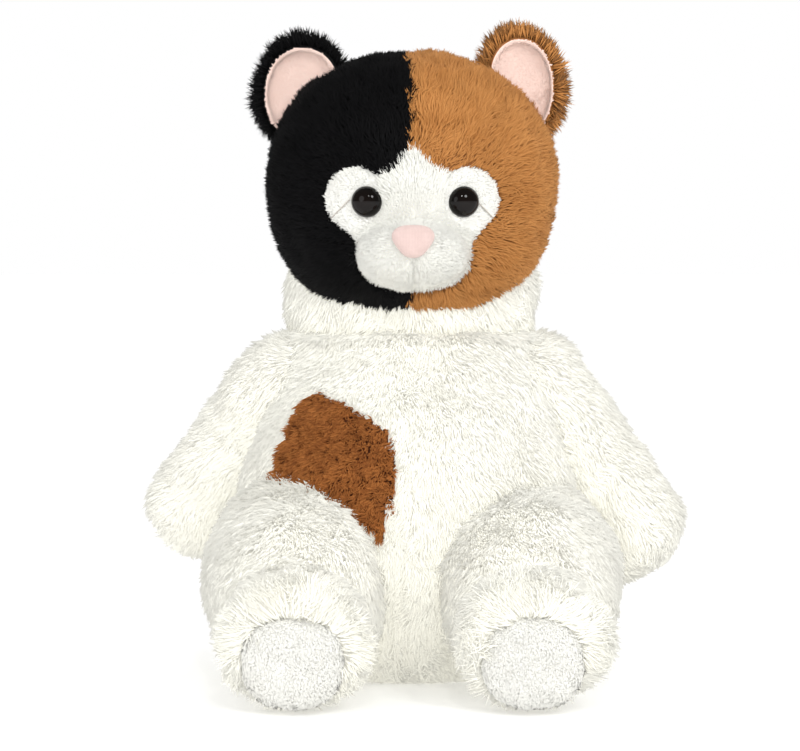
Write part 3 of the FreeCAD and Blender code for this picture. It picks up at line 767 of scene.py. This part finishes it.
for side in (right, left):
    name = sideName(side)
    direction = unit(feet[side] - hips[side])
    skin = addRings("legSkin" + name.title(), legRings(side, legLook))
    lean = ("torso", "leg_" + name, hips[side] - direction * 15 * mm,
            hips[side] + direction * 45 * mm)
    soleMiddle = feet[side] - np.array([0, 0, soleLook["drop"]])

    def offSole(p, middle=soleMiddle):
        spread = np.hypot((p[:, 0] - middle[0]) / (soleLook["wide"] - 1 * mm),
                          (p[:, 2] - middle[2]) / (soleLook["high"] - 1 * mm))
        return (spread > 1) | (p[:, 1] > middle[1] + 12 * mm)

    def legComb(p, s=side, d=direction):
        return np.tile(d * 0.5 + np.array([s * 0.2, 0, -1.0]), (len(p), 1))

    frontY = feet[side][1] + 13 * mm
    onLeg = lambda p, y=frontY: ~sunkInBody(p, sunkDepth) & (p[:, 1] > y) & (p[:, 2] > 3.6 * mm)
    pile = growPile(
        "legPile" + name.title(), skin, limbPile, 160 if side < 0 else 170,
        keep=lambda p, on=onLeg: on(p) & (p[:, 2] >= underTop), comb=legComb,
    )
    under = growPile(
        "legUnderPile" + name.title(), skin, dict(longPile, density=0.9), 165 if side < 0 else 175,
        keep=lambda p, on=onLeg: on(p) & (p[:, 2] < underTop), comb=legComb,
    )

    def ringComb(p, middle=soleMiddle):
        out = p - middle
        out[:, 1] = 0
        return unit(out) * 0.9 + np.array([0, -0.4, -0.3])

    ring = growPile(
        "footPile" + name.title(), skin, ringLook, 180 if side < 0 else 190,
        keep=lambda p, y=frontY: (p[:, 1] <= y) & offSole(p) & (p[:, 2] > 3.0 * mm),
        comb=ringComb,
    )
    sole = addRings("soleSkin" + name.title(), soleRings(side, soleLook))
    nap = growPile("solePile" + name.title(), sole, shortPile, 200 if side < 0 else 205,
                   keep=lambda p, y=soleMiddle[1]: p[:, 1] < y + 4.4 * mm)
    finishPiece(skin, whiteBacking, blend=lean,
                nodes=["leg_stuffing_" + name])
    finishPiece(pile, whitePile, blend=lean, nodes=["leg_skin_" + name])
    finishPiece(under, whitePile, blend=lean)
    finishPiece(ring, whitePile, body="leg_" + name)
    finishPiece(sole, whiteBacking, body="leg_" + name,
                nodes=["sole_pad_" + name])
    finishPiece(nap, whiteShortPile, body="leg_" + name)
print("legs made")


def tailRings(look):
    low, high = box("tail_stuffing")
    reach = look["tip"] - look["inset"]
    end = np.array([high[0] - reach, high[1] - reach, low[2] + reach])
    length = float(np.linalg.norm(end - tailRoot))
    along, wide = limbProfile(length, look["root"] - look["inset"], reach, 10, 24)
    rise = look["rise"] * smoothStep(0.3 * length, 1.3 * length, along)
    lift = np.stack([0 * along, 0 * along, rise], axis=1)
    rings = limbRings(tailRoot, end - tailRoot, along, wide, look["cols"], bend=lambda along: lift)
    return lumpy(rings, look["lumps"], look["ripples"], 96), unit(end - tailRoot)


tailShape, tailDirection = tailRings(tailLook)
tailSkin = addRings("tailSkin", tailShape)
tailLean = ("torso", "tail", tailRoot - tailDirection * 4 * mm, tailRoot + tailDirection * 22 * mm)
tailPile = growPile("tailPile", tailSkin, dict(longPile, density=1.3), 210,
                    comb=lambda p: np.tile(tailDirection, (len(p), 1)))
finishPiece(tailSkin, blackBacking, blend=tailLean,
            nodes=["tail_stuffing"])
finishPiece(tailPile, blackPile, blend=tailLean, nodes=["tail_skin"])
print("tail made")


# distance from the head's middle along ray d to a squarish ellipsoid: (sum |d/h|^p)^(-1/p),
# where p grows below the middle so the jaw is broader than the crown
def headReach(rays, look):
    half = np.array([look["halfWide"], look["halfDeep"], look["halfHigh"]])
    power = look["square"] + look["jaw"] * smoothStep(0.1, 0.8, -rays[..., 2])
    return np.sum(np.abs(rays / half) ** power[..., None], axis=-1) ** (-1 / power)


# far crossing of the ray with the muzzle's ellipsoid, or zero where it misses
def muzzleReach(rays, look):
    half = np.array([look["halfWide"], look["halfDeep"], look["halfHigh"]]) - 3 * mm
    offset = (headMiddle - muzzleMiddle) / half
    scaled = rays / half
    a = np.sum(scaled * scaled, axis=-1)
    b = np.sum(scaled * offset, axis=-1)
    c = np.sum(offset * offset) - 1
    inside = b * b - a * c
    return np.where(inside > 0, (-b + np.sqrt(np.maximum(inside, 0))) / a, 0)


# the greater of two lengths, with the corner between them rounded over k
def roundedMax(one, two, k):
    h = np.clip(0.5 + 0.5 * (one - two) / k, 0, 1)
    return two + (one - two) * h + k * h * (1 - h)


def headSurface(rays):
    reach = headReach(rays, headLook)
    muzzle = muzzleReach(rays, muzzleLook)
    joined = roundedMax(reach, np.maximum(muzzle, reach - 0.03), muzzleLook["soften"])
    reach = np.where(muzzle > 0, joined, reach)
    return headMiddle + rays * reach[..., None]


def headRings(look):
    # the pole points forward, so the face has the finest grid
    fall = np.linspace(0, 1, look["rows"]) ** 1.25 * math.pi
    around = np.linspace(0, 2 * math.pi, look["cols"], endpoint=False)
    rays = np.stack([np.sin(fall)[:, None] * np.cos(around), -np.cos(fall)[:, None] + 0 * around,
                     np.sin(fall)[:, None] * np.sin(around)], axis=-1)
    rings = headSurface(rays)
    rings = lumpy(rings, look["lumps"], look["ripples"], 301)
    # seam down the middle of the face, and the crease below the nose
    x, y, z = rings[..., 0], rings[..., 1], rings[..., 2]
    front = smoothStep(0, -20 * mm, y)
    onBlaze = z < headMiddle[2] + faceLook["blazeTip"]
    seam = np.exp(-((x - 0.5 * mm) / (2.2 * mm)) ** 2) * front * ~onBlaze
    mouth = np.exp(-((x - 1.2 * mm) / (1.6 * mm)) ** 2) * (z < muzzleMiddle[2] - 2 * mm) * (
        z > muzzleMiddle[2] - 24 * mm) * front
    push = -faceLook["seamDepth"] * seam - 2.2 * mm * mouth
    for side in (right, left):
        ex, ez = side * faceLook["eyeX"][side], headMiddle[2] - faceLook["eyeDrop"]
        socket = np.exp(-(((x - ex) / (9 * mm)) ** 2 + ((z - ez) / (9 * mm)) ** 2)) * front
        push = push - 2.2 * mm * socket
    return rings + ringNormals(rings) * push[..., None]


# how far inside the muzzle's oval or the blaze's pointed strip a point lies, in metres
def muzzleField(p):
    x, z = p[:, 0] - faceLook["muzzleX"], p[:, 2] - muzzleMiddle[2]
    half, high = faceLook["muzzleHalf"], faceLook["muzzleHigh"]
    oval = (1 - (np.abs(x / half) ** 2.4 + np.abs(z / high) ** 2.4) ** (1 / 2.4)) * high
    tip = headMiddle[2] + faceLook["blazeTip"] - p[:, 2]
    reach = faceLook["blazeTip"] + faceLook["blazeDrop"]
    wide = faceLook["blazeHalf"] * np.clip(tip / reach, 0, 1)
    blaze = np.where(z > 0, wide - np.abs(x), -high)
    return np.maximum(oval, np.where(tip > 0, blaze, -high))


def patchField(p, side):
    spot = np.hypot(p[:, 0] - side * faceLook["patchX"],
                    p[:, 2] - (headMiddle[2] - faceLook["patchDrop"]))
    return faceLook["patchRadius"] - spot


def onMuzzle(p):
    muzzle = muzzleField(p)
    patch = np.maximum(patchField(p, right), patchField(p, left))
    joined = roundedMax(muzzle, patch, faceLook["join"]) > faceLook["join"] * 0.12
    return joined & (muzzle >= patch - 2.5 * mm) & (p[:, 1] < headMiddle[1] - 20 * mm)


def onPatch(p, side):
    muzzle, patch = muzzleField(p), patchField(p, side)
    joined = roundedMax(muzzle, patch, faceLook["join"]) > faceLook["join"] * 0.12
    return joined & (p[:, 0] * side > 0) & ~onMuzzle(p) & (p[:, 1] < headMiddle[1])


def eyePlace(side):
    x, z = side * faceLook["eyeX"][side], headMiddle[2] - faceLook["eyeDrop"]
    half = np.array([headLook["halfWide"], headLook["halfDeep"], headLook["halfHigh"]])
    y = -half[1] * math.sqrt(1 - (x / half[0]) ** 2 - ((z - headMiddle[2]) / half[2]) ** 2)
    out = unit(np.array([x, y, z - headMiddle[2]]) / half ** 2)
    return np.array([x, y + headMiddle[1], z]), out


eyes = {side: eyePlace(side) for side in (right, left)}


def offEyes(p):
    show = np.ones(len(p), bool)
    for side in (right, left):
        show &= np.hypot(p[:, 0] - eyes[side][0][0], p[:, 2] - eyes[side][0][2]) > 6.6 * mm
    return show


# the part of the head that sits in the neck, 8 mm inside the neck's surface
neckCore = np.array([neckHalf, neckRound, neckRound]) - 8 * mm
neckInHead = lambda p: ((p[:, 0] / neckCore[0]) ** 2
                        + ((p[:, 1] - nodPivot[1]) / neckCore[1]) ** 2
                        + ((p[:, 2] - nodPivot[2]) / neckCore[2]) ** 2) < 1
noseMiddle = muzzleMiddle + np.array([0, -muzzleLook["halfDeep"], 6.6 * mm])


def faceComb(p):
    out = p - noseMiddle
    out[:, 1] *= 0.6
    return unit(out) + np.array([0, 0.15, 0])


def backComb(p):
    return np.tile([0.0, 0.15, -1.0], (len(p), 1))


# 0 black, 1 tan, 2 white
def headCloth(p):
    white = (p[:, 1] > faceLook["backLine"]) | onMuzzle(p)
    white |= onPatch(p, right) | onPatch(p, left)
    return np.where(white, 2, np.where(p[:, 0] < 0, 0, 1))


headSkin = addRings("headSkin", headRings(headLook))
paintFaces(headSkin, (blackBacking, tanBacking, whiteBacking), headCloth)
finishPiece(headSkin, None, body="head", nodes=["head_stuffing"])


def headFront(p):
    return ((p[:, 1] <= faceLook["backLine"]) & ~onMuzzle(p) & ~onPatch(p, right)
            & ~onPatch(p, left) & ~neckInHead(p))


seamLine = lambda p: p[:, 0] < -1.0 * mm + 1.2 * mm * softNoise(p, 9 * mm, 77)
facePile = dict(longPile, density=2.2, length=6.8 * mm, width=0.7 * mm, rise=24, over=56, wisp=0.7,
                wispSize=6 * mm, shadeSize=8 * mm, stray=0.8, glint=0.3)


# pile length beside an eye patch: 0.75 at its edge, growing to 1 over 12 mm
def nearPatch(p):
    lower = p[:, 2] - headMiddle[2] + faceLook["patchDrop"]
    reach = np.minimum(*(np.hypot(p[:, 0] - s * faceLook["patchX"], lower) for s in (right, left)))
    return 0.75 + 0.25 * np.clip(reach / mm - 17, 0, 12) / 12


blackFace = growPile("blackFacePile", headSkin, facePile, 310,
                     keep=lambda p: headFront(p) & seamLine(p), comb=faceComb, trim=nearPatch)
tanFace = growPile("tanFacePile", headSkin, facePile, 320,
                   keep=lambda p: headFront(p) & ~seamLine(p), comb=faceComb, trim=nearPatch)
backPile = growPile("headBackPile", headSkin, backPileLook, 330,
                    keep=lambda p: (p[:, 1] > faceLook["backLine"]) & ~neckInHead(p), comb=backComb)
finishPiece(blackFace, blackPile, body="head", nodes=["head_panel_black"])
finishPiece(tanFace, tanPile, body="head", nodes=["head_panel_tan"])
finishPiece(backPile, whitePile, body="head", nodes=["head_panel_back"])

muzzlePileLook = dict(longPile, density=3.8, length=4.6 * mm, width=0.58 * mm, rise=40, over=76,
                      wisp=0.5, wispSize=6 * mm, shadeSize=16 * mm, stray=0.6, glint=0.08)
# longer up the blaze, shorter round the nose
blazeTrim = lambda p: 0.6 + 0.9 * smoothStep(16 * mm, 40 * mm, p[:, 2] - noseMiddle[2])
muzzlePile = growPile("muzzlePile", headSkin, muzzlePileLook, 340,
                      keep=lambda p: onMuzzle(p) & offEyes(p), comb=faceComb, trim=blazeTrim)
finishPiece(muzzlePile, whiteFacePile, body="head", nodes=["muzzle_panel"])
for side in (right, left):
    name = sideName(side)
    nap = growPile("eyePatchPile" + name.title(), headSkin, shortPile, 350 if side < 0 else 355,
                   keep=lambda p, s=side: onPatch(p, s) & offEyes(p), comb=faceComb)
    finishPiece(nap, whiteShortPile, body="head", nodes=["eye_patch_" + name])
print("head made")


# near black, with a faint brown ring part way from the dome's middle to its rim
def eyeMaterial(side):
    material, tree, shader = newMaterial("eyeGloss" + sideName(side).title())
    place = objectPlace(tree)
    move = addNode(tree, "Mapping", {"Vector": place, "Location": tuple(-eyes[side][0])})
    reach = addNode(tree, "VectorMath", {0: move.outputs["Vector"]}, operation="LENGTH")
    ring = addNode(tree, "MapRange", {
        "From Min": 6.2 * mm, "From Max": 8.4 * mm, "Value": reach.outputs["Value"]})
    colours = addNode(tree, "ValToRGB", {"Fac": ring.outputs["Result"]})
    stops = colours.color_ramp.elements
    stops[0].position, stops[0].color = 0.0, (0.0008, 0.0008, 0.0009, 1)
    stops[1].position, stops[1].color = 1.0, (0.002, 0.0015, 0.0012, 1)
    stops.new(0.55).color = (0.0045, 0.0022, 0.0014, 1)
    specks = addNode(tree, "TexNoise", {"Scale": 400, "Vector": place})
    rough = addNode(tree, "MapRange", {
        "To Min": 0.03, "To Max": 0.07, "Value": specks.outputs["Fac"]})
    setInputs(tree, shader, {
        "Base Color": colours.outputs["Color"], "Roughness": rough.outputs["Result"], "IOR": 1.31})
    return material


eyeLook = dict(radius=8 * mm, bulge=6.3 * mm, rim=0.9 * mm, rows=26, cols=64)


# a dome turned about the outward line: r = R cos(t), h = rim + H sin(t), on a flat back
def eyeRings(side, look):
    middle, out = eyes[side]
    dome = np.linspace(0, math.pi / 2, look["rows"])
    wide = look["radius"] * np.concatenate([[0, 0.6, 0.97], np.cos(dome)])
    high = np.concatenate([[0, 0, 0], look["rim"] + look["bulge"] * np.sin(dome)])
    return limbRings(middle + out * 0.2 * mm, out, high, wide, look["cols"])


for side in (right, left):
    name = sideName(side)
    eye = addRings("eyeDome" + name.title(), eyeRings(side, eyeLook))
    finishPiece(eye, eyeMaterial(side), body="head", nodes=["eye_" + name])
print("eyes made")


noseLook = dict(half=11.4 * mm, lobe=0.085, squash=0.80, puff=5.0 * mm, sink=3.0 * mm,
                rows=24, cols=72)


# outline r = a(0.92 + k sin 3t), flattened in z, puffed forward by (1 - s^2.4)^0.5
def noseRings(look):
    turn = np.linspace(0, 2 * math.pi, look["cols"], endpoint=False)
    reach = look["half"] * (0.92 + look["lobe"] * np.sin(3 * turn))
    x, z = reach * np.cos(turn), reach * np.sin(turn) * look["squash"]
    spans = np.sin(np.linspace(0, math.pi / 2, look["rows"]))
    front = -look["puff"] * np.sqrt(1 - spans ** 2.4)
    spansAll = np.concatenate([spans, spans[::-1][1:] * 0.96])
    depth = np.concatenate([front, np.full(look["rows"] - 1, look["sink"])])
    rings = np.stack([spansAll[:, None] * x, np.repeat(depth[:, None], look["cols"], axis=1),
                      spansAll[:, None] * z], axis=-1)
    # lies back with the slope of the muzzle above it
    lean = math.radians(14)
    y, up = rings[..., 1].copy(), rings[..., 2].copy()
    rings[..., 1] = y * math.cos(lean) + up * math.sin(lean)
    rings[..., 2] = up * math.cos(lean) - y * math.sin(lean)
    return rings + noseMiddle + np.array([0.4 * mm, 1.5 * mm, 0.5 * mm])


nose = addRings("noseCushion", noseRings(noseLook))
finishPiece(nose, knitMaterial("pinkKnit", (0.74, 0.56, 0.52), (0.64, 0.47, 0.43), 420),
            body="head", nodes=["nose"])


# a round thread of radius r carried along points that follow the skin
def addThread(name, points, radius):
    ahead = unit(np.gradient(points, axis=0))
    side = unit(np.cross(ahead, [0.0, -0.9, 0.3]))
    over = np.cross(side, ahead)
    turn = np.linspace(0, 2 * math.pi, 8, endpoint=False)
    ring = (np.cos(turn)[:, None] * side[:, None, :]
            + np.sin(turn)[:, None] * over[:, None, :])
    rings = points[:, None, :] + radius * ring
    rings = np.concatenate([np.repeat(points[:1, None], 8, axis=1), rings,
                            np.repeat(points[-1:, None], 8, axis=1)])
    return addRings(name, rings)


def onFace(x, z, proud):
    aim = np.stack([x, np.full_like(x, headMiddle[1] - 70 * mm), z], axis=1)
    rays = unit(aim - headMiddle)
    for _ in range(6):  # walk the ray until it meets the wanted x and z
        spot = headSurface(rays)
        scale = (spot[:, 1] - headMiddle[1]) / (rays[:, 1])
        rays = unit(np.stack([x / scale, rays[:, 1], (z - headMiddle[2]) / scale], axis=1))
    return headSurface(rays) + rays * proud


threadMaterial = knitMaterial("threadTwist", (0.62, 0.56, 0.50), (0.45, 0.40, 0.35), 900)
step = np.linspace(0, 1, 24)
mouthPoints = onFace(np.full(24, 1.2 * mm), muzzleMiddle[2] - 3 * mm - step * 15 * mm, -1.2 * mm)
mouth = addThread("mouthStitch", mouthPoints, 0.35 * mm)
finishPiece(mouth, threadMaterial, body="head", nodes=["mouth_stitch"])
for side in (right, left):
    high = headMiddle[2] - faceLook["eyeDrop"]
    proud = (1.3 if side > 0 else 0.9) * mm
    dart = onFace(side * (31.5 * mm + step * 11 * mm), high + (1.0 - 11.0 * step) * mm, proud)
    seam = addThread("dartSeam" + sideName(side).title(), dart, 0.3 * mm)
    finishPiece(seam, threadMaterial, body="head")
print("face trimmed")


earLook = dict(halfLong={right: 25 * mm, left: 26.5 * mm}, halfDeep=12 * mm,
               wall=3.2 * mm, forward=9 * mm, leaf=0.14,
               halfWide={right: 19.5 * mm, left: 17 * mm}, lean={right: 17.0, left: 8.0},
               outward={right: 6.5 * mm, left: 6.0 * mm}, upward={right: 5.5 * mm, left: 8.5 * mm},
               rows=34, cols=72)


# the ear's middle, its long direction and its outward direction
def earFrame(side):
    lean = math.radians(earLook["lean"][side])
    rise = np.array([-side * math.sin(lean), 0, math.cos(lean)])
    out = np.array([side * math.cos(lean), 0, math.sin(lean)])
    place = pivot("ear_fold_" + sideName(side))
    place = place + np.array([side * earLook["outward"][side], 0, earLook["upward"][side]])
    return place, rise, out


# a shallow bowl: outside ellipsoid from the back to the rim, round the rim, and back inside
def earRings(side, look):
    place, fold, out = earFrame(side)
    half = look["rows"] // 2
    fall = np.linspace(0, math.pi / 2, half)
    outsideWide, outsideDeep = np.sin(fall), np.cos(fall)
    around = np.linspace(0, 2 * math.pi, look["cols"], endpoint=False)
    roll = np.linspace(0, math.pi, 7)[1:-1]
    thick = look["wall"]
    wide = np.concatenate([outsideWide, 1 - 0.06 * (1 - np.cos(roll)), outsideWide[::-1] * 0.88])
    deep = np.concatenate([outsideDeep * look["halfDeep"],
                           -0.55 * thick * np.sin(roll),
                           outsideDeep[::-1] * (look["halfDeep"] - thick)])
    # narrower toward the lower end, like a leaf
    leaf = 1 + look["leaf"] * wide[:, None] * np.cos(around)
    flat = (wide[:, None] * np.cos(around) * look["halfLong"][side])[..., None] * fold
    high = (wide[:, None] * np.sin(around) * leaf * look["halfWide"][side])[..., None] * out
    back = (deep - look["forward"] + 2 * mm)[:, None, None] * np.array([0.0, 1.0, 0.0])
    rings = place + flat + high + back
    inner = np.concatenate([np.zeros(half + 5, bool), np.ones(half, bool)])
    return rings, inner


earPile = dict(longPile, density=2.6, length=9.5 * mm, width=0.7 * mm, rise=48, over=62, wisp=0.6,
               wispSize=6 * mm, stray=0.7, shadeSize=12 * mm, glint=0.3)
liningPile = dict(shortPile, density=3.2, length=1.4 * mm, width=0.8 * mm, rise=50, over=82,
                  stray=0.5, shadeSize=8 * mm, glint=0.06)
for side in (right, left):
    name = sideName(side)
    place, fold, out = earFrame(side)
    rings, inner = earRings(side, earLook)
    skin = addRings("earSkin" + name.title(), rings)
    middle = place + np.array([0, -earLook["forward"] + 2 * mm, 0])

    def earSpan(p, m=middle, f=fold, o=out, s=side):
        long = (p - m) @ f / earLook["halfLong"][s]
        return np.hypot(long, (p - m) @ o / (1 + earLook["leaf"] * long) / earLook["halfWide"][s])

    def lined(p, m=middle):
        spread = np.clip(earSpan(p), 0, 1)
        shell = m[1] + earLook["halfDeep"] * np.sqrt(np.clip(1 - spread ** 2, 0, 1))
        return (p[:, 1] < shell - earLook["wall"] * 0.55) & (spread < 0.93)

    def earComb(p, m=middle):
        away = p - m
        away[:, 1] = -2 * mm
        return away

    fur = growPile("earPile" + name.title(), skin, earPile, 400 if side < 0 else 410,
                   keep=lambda p: ~lined(p), comb=earComb)
    nap = growPile("earLiningPile" + name.title(), skin, liningPile, 420 if side < 0 else 430,
                   keep=lined, comb=lambda p, o=out: np.tile(o, (len(p), 1)))
    paintFaces(skin, (blackBacking if side < 0 else tanBacking, pinkBacking), lined)
    finishPiece(skin, None, body="ear_" + name)
    finishPiece(fur, blackPile if side < 0 else tanPile, body="ear_" + name,
                nodes=["ear_outer_" + name])
    finishPiece(nap, pinkShortPile, body="ear_" + name,
                nodes=["ear_lining_" + name])
print("ears made")


labelMaterial = knitMaterial("labelRibbon", (0.86, 0.86, 0.84), (0.78, 0.78, 0.76), 700)
labelLook = dict(out=26 * mm, high=28 * mm, thick=0.5 * mm, curl=2.5 * mm, droop=3.5 * mm,
                 rows=26, cols=24)


# a ribbon's flat loop carried outward: x bends by c sin(2t), z droops by d t^2
def labelRings(look):
    low, high = box("care_label")
    t = np.linspace(0, 1, look["rows"])
    x = (low[0] + high[0]) / 2 + look["curl"] * np.sin(2 * t)
    y = high[1] - look["out"] * (1 - t)
    z = (low[2] + high[2]) / 2 - look["droop"] * t ** 2
    spans = np.linspace(-1, 1, look["cols"])
    loop = np.concatenate([spans, spans[::-1]])
    face = np.concatenate([np.full(look["cols"], -0.5), np.full(look["cols"], 0.5)])
    wave = 0.6 * mm * np.sin(3 * loop)[None, :] * t[:, None]
    rings = np.stack([x[:, None] + face * look["thick"] + wave,
                      np.repeat(y[:, None], len(loop), axis=1),
                      z[:, None] + loop * look["high"] / 2], axis=-1)
    ends = [np.repeat(rings[k].mean(axis=0)[None], len(loop), axis=0)[None] for k in (0, -1)]
    return np.concatenate([ends[0], rings, ends[1]])


label = addRings("careLabel", labelRings(labelLook))
finishPiece(label, labelMaterial, body="torso", nodes=["care_label"])
bagMaterial = knitMaterial("pelletBagCloth", (0.7, 0.7, 0.68), (0.55, 0.55, 0.53), 500)
washerMaterial = backingMaterial("washerPlastic", (0.8, 0.8, 0.8), (0.7, 0.7, 0.7))
for node, material in (("seat_pellet_bag", bagMaterial), ("eye_washers", washerMaterial)):
    thing = frame["nodes"][node]
    thing.data.materials.clear()
    thing.data.materials.append(material)


stageLook = dict(floor=(0.86, 0.86, 0.86), floorLight=(0.88, 0.88, 0.88), glow=0.24, half=12,
                 sky=1.0, mirrored=0.25, key=9.0, fill=3.5, catch=3.5)
floorMaterial, floorTree, floorShader = newMaterial("paleFloor")
grain = addNode(floorTree, "TexNoise", {"Scale": 3})
tint = mixColours(floorTree, grain.outputs["Fac"], opaque(stageLook["floor"]),
                  opaque(stageLook["floorLight"]))
setInputs(floorTree, floorShader, {
    "Base Color": tint, "Emission Color": tint, "Emission Strength": stageLook["glow"],
    "Roughness": 0.9})
floorPoints = stageLook["half"] * np.array([[-1, -1, 0], [1, -1, 0], [1, 1, 0], [-1, 1, 0]], float)
floor = addMesh("floor", floorPoints, [[0, 1, 2, 3]])
floor.data.materials.append(floorMaterial)

world = bpy.data.worlds.new("studio")
world.use_nodes = True
sky = world.node_tree.nodes["Background"]
# glossy things mirror a darker room, so the eyes stay black
path = addNode(world.node_tree, "LightPath", {})
level = addNode(world.node_tree, "MapRange", {
    "To Min": stageLook["sky"], "To Max": stageLook["mirrored"],
    "Value": path.outputs["Is Glossy Ray"]})
setInputs(world.node_tree, sky, {"Color": (1, 1, 1, 1), "Strength": level.outputs["Result"]})
bpy.context.scene.world = world


def addLight(name, place, aim, size, power):
    lamp = bpy.data.lights.new(name, "AREA")
    lamp.shape, lamp.size, lamp.energy = "DISK", size, power
    made = bpy.data.objects.new(name, lamp)
    made.location = place
    made.rotation_euler = (Vector(aim) - Vector(place)).to_track_quat("-Z", "Y").to_euler()
    bpy.context.scene.collection.objects.link(made)


addLight("keyLight", (0.75, -1.5, 1.1), (0, 0, 0.15), 0.5, stageLook["key"])
addLight("catchLight", (0.05, -1.5, 1.1), (0, 0, 0.2), 0.08, stageLook["catch"])
addLight("fillLight", (-1.2, -1.3, 0.6), (0, 0, 0.15), 1.0, stageLook["fill"])

cameraLook = dict(aim=(-6.2 * mm, -40 * mm, 159 * mm), distance=1.5, elevation=3.0, lens=130.8)
lens = bpy.data.cameras.new("camera")
lens.lens, lens.sensor_width = cameraLook["lens"], 36
camera = bpy.data.objects.new("camera", lens)
tilt = math.radians(cameraLook["elevation"])
camera.location = (cameraLook["aim"][0],
                   cameraLook["aim"][1] - cameraLook["distance"] * math.cos(tilt),
                   cameraLook["aim"][2] + cameraLook["distance"] * math.sin(tilt))
camera.rotation_euler = (math.pi / 2 - tilt, 0, 0)
bpy.context.scene.collection.objects.link(camera)
bpy.context.scene.camera = camera
bpy.context.scene.view_settings.view_transform = "Standard"
print("stage made")
